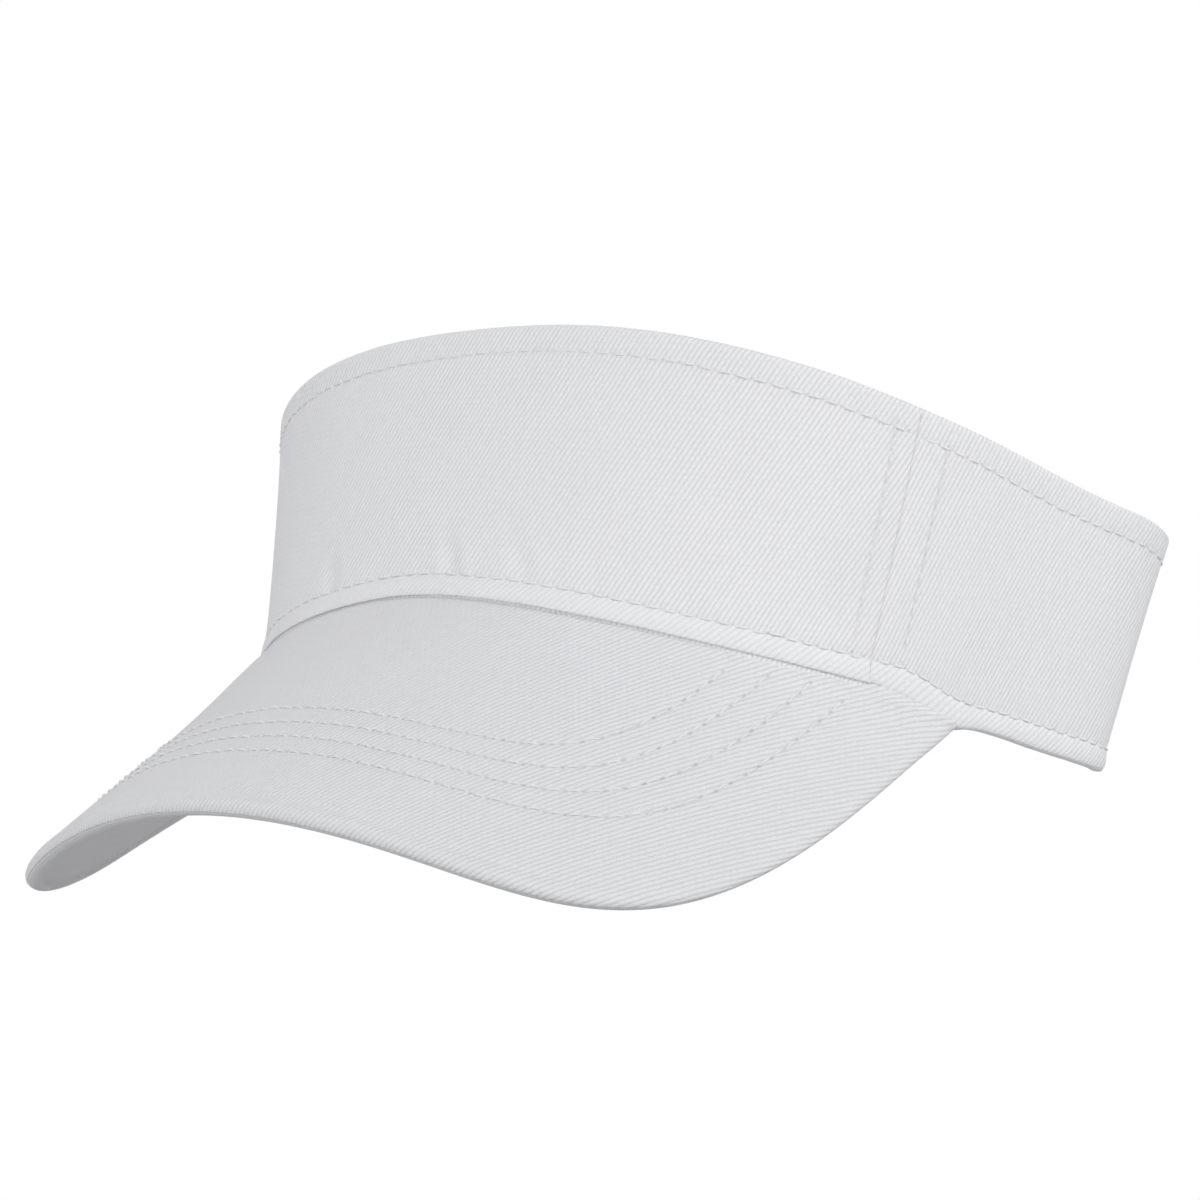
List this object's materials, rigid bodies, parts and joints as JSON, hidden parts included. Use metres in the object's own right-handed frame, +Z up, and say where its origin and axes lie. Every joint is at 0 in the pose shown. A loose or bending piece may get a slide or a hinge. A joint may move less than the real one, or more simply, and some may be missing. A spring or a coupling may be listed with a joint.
{
  "type": "sun visor",
  "caption": "Open-crown sun visor: curved fabric headband, stiffened stitched brim curving down at its sides, and a hook-and-loop strap at the back.",
  "frame": {"origin": "centre of the head opening, on the datum plane that the band's heights are measured from, 9 mm below the lowest point of the band's side edge", "axes": "+Z up through the head opening, brim towards -Y, closure strap at +Y, +X to the right as seen from the front"},
  "size_m": [0.2192, 0.208, 0.1268],
  "materials": {
    "band_twill": "matt white cotton twill",
    "brim_twill": "matt white cotton twill",
    "strap_twill": "matt white cotton twill",
    "binding": "matt white cotton bias binding",
    "lining": "matt white plain cotton",
    "interlining": "stiff open-weave interlining",
    "sweatband": "soft brushed cotton",
    "thread": "white sewing thread with a slight sheen",
    "board": "moulded stiffening sheet",
    "hook_tape": "white hook tape",
    "loop_tape": "white loop pile tape"
  },
  "bodies": {
    "front": {"front_panel": "band_twill", "front_interlining": "interlining", "front_lining": "lining", "sweatband": "sweatband", "brim_board": "board", "brim_top_cover": "brim_twill", "brim_under_cover": "brim_twill", "front_edge_roll": "binding", "brim_stitch_row_1": "thread", "brim_stitch_row_2": "thread", "brim_stitch_row_3": "thread", "brim_stitch_row_4": "thread", "front_hem_thread": "thread", "front_edge_thread": "thread", "front_seam_threads": "thread", "side_seam_tapes": "lining"},
    "right_side": {"right_side_panel": "band_twill", "right_side_lining": "lining", "right_edge_binding": "binding", "right_hem_thread": "thread", "right_edge_thread": "thread", "right_seam_thread": "thread", "loop_tab": "strap_twill", "loop_patch": "loop_tape", "loop_tab_thread": "thread"},
    "left_side": {"left_side_panel": "band_twill", "left_side_lining": "lining", "left_edge_binding": "binding", "left_hem_thread": "thread", "left_edge_thread": "thread", "left_seam_thread": "thread", "strap_base": "strap_twill", "strap_anchor_thread": "thread"},
    "strap_end": {"strap_tail": "strap_twill", "hook_patch": "hook_tape", "hook_patch_thread": "thread"}
  },
  "joints": [
    {"name": "right_flex", "type": "hinge", "parent": "front", "child": "right_side", "pos_m": [0.0933, -0.0496, 0], "axis": [0, 0, -1], "range_deg": [-3.5, 3.5]},
    {"name": "left_flex", "type": "hinge", "parent": "front", "child": "left_side", "pos_m": [-0.0933, -0.0496, 0], "axis": [0, 0, 1], "range_deg": [-3.5, 3.5]},
    {"name": "strap_peel", "type": "hinge", "parent": "left_side", "child": "strap_end", "pos_m": [-0.01758, 0.06713, 0.044], "axis": [-0.0073, 0.0518, 0.9986], "range_deg": [0, 70]}
  ],
  "couplings": [
    {"joint": "left_flex", "follows": "right_flex", "ratio": 1}
  ]
}
